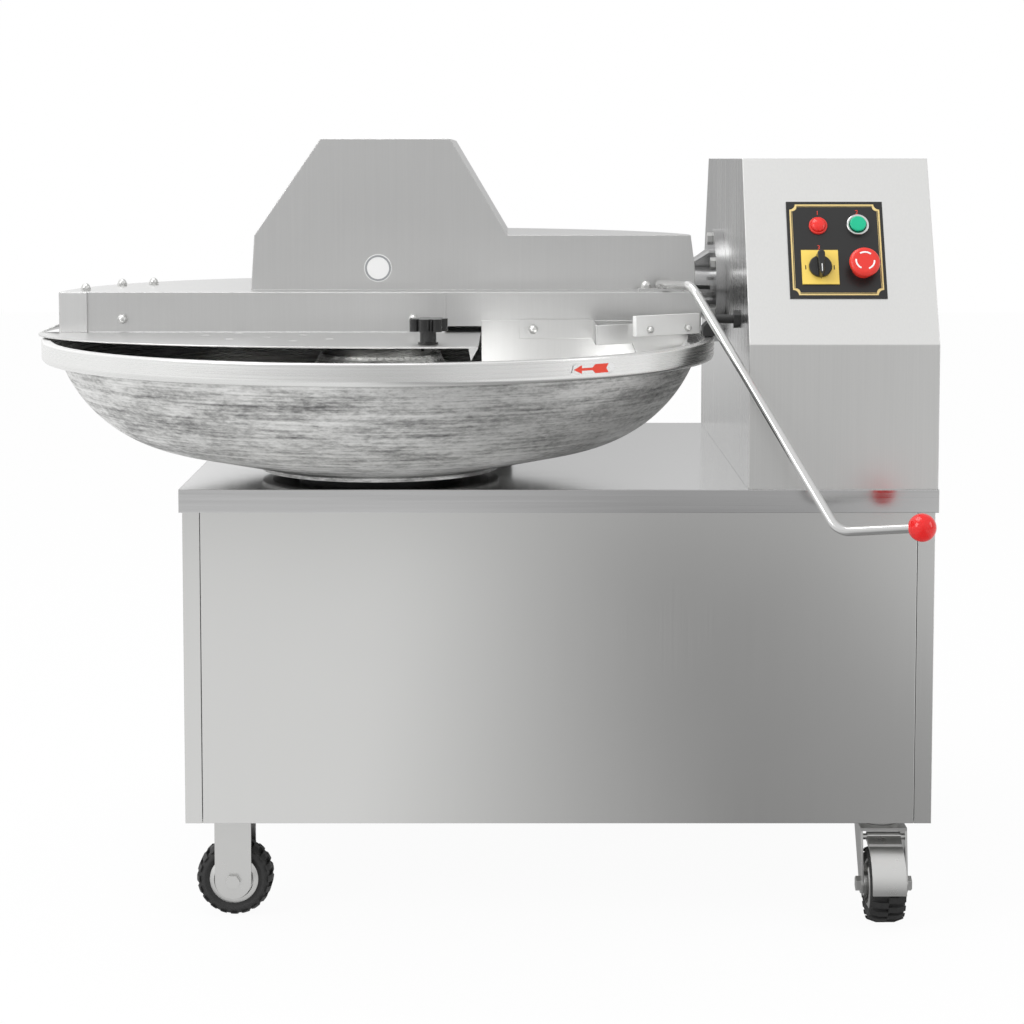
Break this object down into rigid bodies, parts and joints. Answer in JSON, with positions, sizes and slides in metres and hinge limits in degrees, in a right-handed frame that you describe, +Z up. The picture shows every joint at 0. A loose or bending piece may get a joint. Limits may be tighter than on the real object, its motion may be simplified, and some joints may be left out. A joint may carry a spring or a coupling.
{
  "type": "bowl cutter",
  "caption": "Bowl cutter on castors: a turning bowl, sickle knives under a hinged hood with a long lever, and a sloped control tower beside it.",
  "frame": {"origin": "on the floor, under the centre of the whole machine's bounding box", "axes": "+Z up, -Y the front where the operator stands, +X towards the control tower"},
  "size_m": [1.1886, 1.045, 1.027],
  "materials": {
    "steel_panel": "brushed stainless steel sheet",
    "deck_steel": "polished stainless steel sheet",
    "hood_steel": "brushed stainless steel sheet",
    "cast_bowl": "cast, streaked outside, machined rim",
    "bright_steel": "turned, bright",
    "bright_zinc": "bright",
    "frame_steel": "satin grey paint",
    "black_iron": "dark, satin",
    "machine_paint": "satin paint",
    "box_paint": "satin paint",
    "black_plate": "satin black with a thin gold border",
    "belt_rubber": "matte",
    "lamp_red": "glossy",
    "button_green": "glossy",
    "switch_yellow": "glossy",
    "black_plastic": "glossy",
    "ball_red": "glossy",
    "white_plastic": "smooth",
    "tyre_rubber": "matte"
  },
  "bodies": {
    "machine": {"corner_posts": "steel_panel", "frame_rails": "frame_steel", "floor_plate": "steel_panel", "front_panel": "steel_panel", "side_panels": "steel_panel", "rear_panel": "steel_panel", "deck": "deck_steel", "tower_shell": "steel_panel", "tower_rear_cover": "steel_panel", "control_plate": "black_plate", "lamp": "lamp_red", "start_bezel": "bright_steel", "switch_plate": "switch_yellow", "stop_collar": "ball_red", "shaft_housing": "bright_steel", "housing_bolts": "bright_zinc", "shaft_bearings": "bright_steel", "main_motor": "machine_paint", "v_belts": "belt_rubber", "bowl_bearing_housing": "black_iron", "spindle_bearings": "bright_steel", "bowl_gearbox": "machine_paint", "bowl_motor": "machine_paint", "hinge_stands": "bright_steel", "hinge_pins": "bright_steel", "rim_guide": "black_iron", "electrical_box": "box_paint", "cable_gland": "black_plastic", "rigid_forks": "bright_zinc", "swivel_plates": "bright_zinc"},
    "bowl_unit": {"bowl": "cast_bowl", "bowl_spindle": "bright_steel", "bowl_cap": "bright_steel"},
    "knife_unit": {"knife_shaft": "bright_steel", "knives": "bright_steel", "knife_collars": "bright_steel", "shaft_pulley": "black_iron"},
    "motor_rotor": {"motor_pulley": "black_iron"},
    "lid_unit": {"lid_pan": "hood_steel", "hood": "hood_steel", "guard_plate": "hood_steel", "splash_baffle": "hood_steel", "adjusting_plate": "hood_steel", "scraper": "white_plastic", "lid_nuts": "bright_zinc", "hinge_leaves": "bright_steel", "lever_arm": "bright_steel", "ball_knob": "ball_red"},
    "clamp": {"clamp_knob": "black_plastic"},
    "start": {"start_button": "button_green"},
    "switch": {"switch_knob": "black_plastic"},
    "stop": {"stop_button": "ball_red"},
    "wheel_fl": {"wheel_front_left": "tyre_rubber"},
    "wheel_rl": {"wheel_rear_left": "tyre_rubber"},
    "wheel_fr": {"wheel_front_right": "tyre_rubber"},
    "wheel_rr": {"wheel_rear_right": "tyre_rubber"},
    "fork_fr": {"fork_front_right": "bright_zinc"},
    "fork_rr": {"fork_rear_right": "bright_zinc"},
    "pedal_f": {"brake_front": "bright_zinc"},
    "pedal_r": {"brake_rear": "bright_zinc"}
  },
  "joints": [
    {"name": "bowl_spin", "type": "hinge", "parent": "machine", "child": "bowl_unit", "pos_m": [-0.1343, -0.0725, 0.6], "axis": [0, 0, 1], "continuous": true},
    {"name": "knife_spin", "type": "hinge", "parent": "machine", "child": "knife_unit", "pos_m": [-0.1343, 0.1755, 0.816], "axis": [1, 0, 0], "continuous": true},
    {"name": "motor_spin", "type": "hinge", "parent": "machine", "child": "motor_rotor", "pos_m": [0.4, 0.1755, 0.251], "axis": [1, 0, 0], "continuous": true},
    {"name": "lid_hinge", "type": "hinge", "parent": "machine", "child": "lid_unit", "pos_m": [-0.1343, 0.3825, 0.774], "axis": [-1, 0, 0], "range_deg": [0, 75]},
    {"name": "clamp_turn", "type": "hinge", "parent": "lid_unit", "child": "clamp", "pos_m": [-0.0623, -0.2755, 0.766], "axis": [0, 0, 1], "continuous": true},
    {"name": "switch_turn", "type": "hinge", "parent": "machine", "child": "switch", "pos_m": [0.444, -0.19267, 0.85808], "axis": [0, -0.8989, 0.4381], "range_deg": [-45, 45]},
    {"name": "start_press", "type": "slide", "parent": "machine", "child": "start", "axis": [0, 0.8989, -0.4381], "range_m": [0, 0.003], "stiffness_N_per_m": 300, "springref_m": -0.004},
    {"name": "stop_press", "type": "slide", "parent": "machine", "child": "stop", "axis": [0, 0.8989, -0.4381], "range_m": [0, 0.005], "stiffness_N_per_m": 400, "springref_m": -0.004},
    {"name": "wheel_fl_spin", "type": "hinge", "parent": "machine", "child": "wheel_fl", "pos_m": [-0.3237, -0.1805, 0.05], "axis": [0, 1, 0], "continuous": true},
    {"name": "wheel_rl_spin", "type": "hinge", "parent": "machine", "child": "wheel_rl", "pos_m": [-0.3237, 0.4605, 0.05], "axis": [0, 1, 0], "continuous": true},
    {"name": "fork_fr_swivel", "type": "hinge", "parent": "machine", "child": "fork_fr", "pos_m": [0.5323, -0.1805, 0.12], "axis": [0, 0, 1], "continuous": true},
    {"name": "fork_rr_swivel", "type": "hinge", "parent": "machine", "child": "fork_rr", "pos_m": [0.5323, 0.4605, 0.12], "axis": [0, 0, 1], "continuous": true},
    {"name": "wheel_fr_spin", "type": "hinge", "parent": "fork_fr", "child": "wheel_fr", "pos_m": [0.5323, -0.2185, 0.05], "axis": [1, 0, 0], "continuous": true},
    {"name": "wheel_rr_spin", "type": "hinge", "parent": "fork_rr", "child": "wheel_rr", "pos_m": [0.5323, 0.4225, 0.05], "axis": [1, 0, 0], "continuous": true},
    {"name": "pedal_f_pivot", "type": "hinge", "parent": "fork_fr", "child": "pedal_f", "pos_m": [0.5323, -0.2125, 0.111], "axis": [-1, 0, 0], "range_deg": [0, 18]},
    {"name": "pedal_r_pivot", "type": "hinge", "parent": "fork_rr", "child": "pedal_r", "pos_m": [0.5323, 0.4285, 0.111], "axis": [-1, 0, 0], "range_deg": [0, 18]}
  ],
  "couplings": [
    {"joint": "knife_spin", "follows": "motor_spin", "ratio": 1.3667}
  ]
}
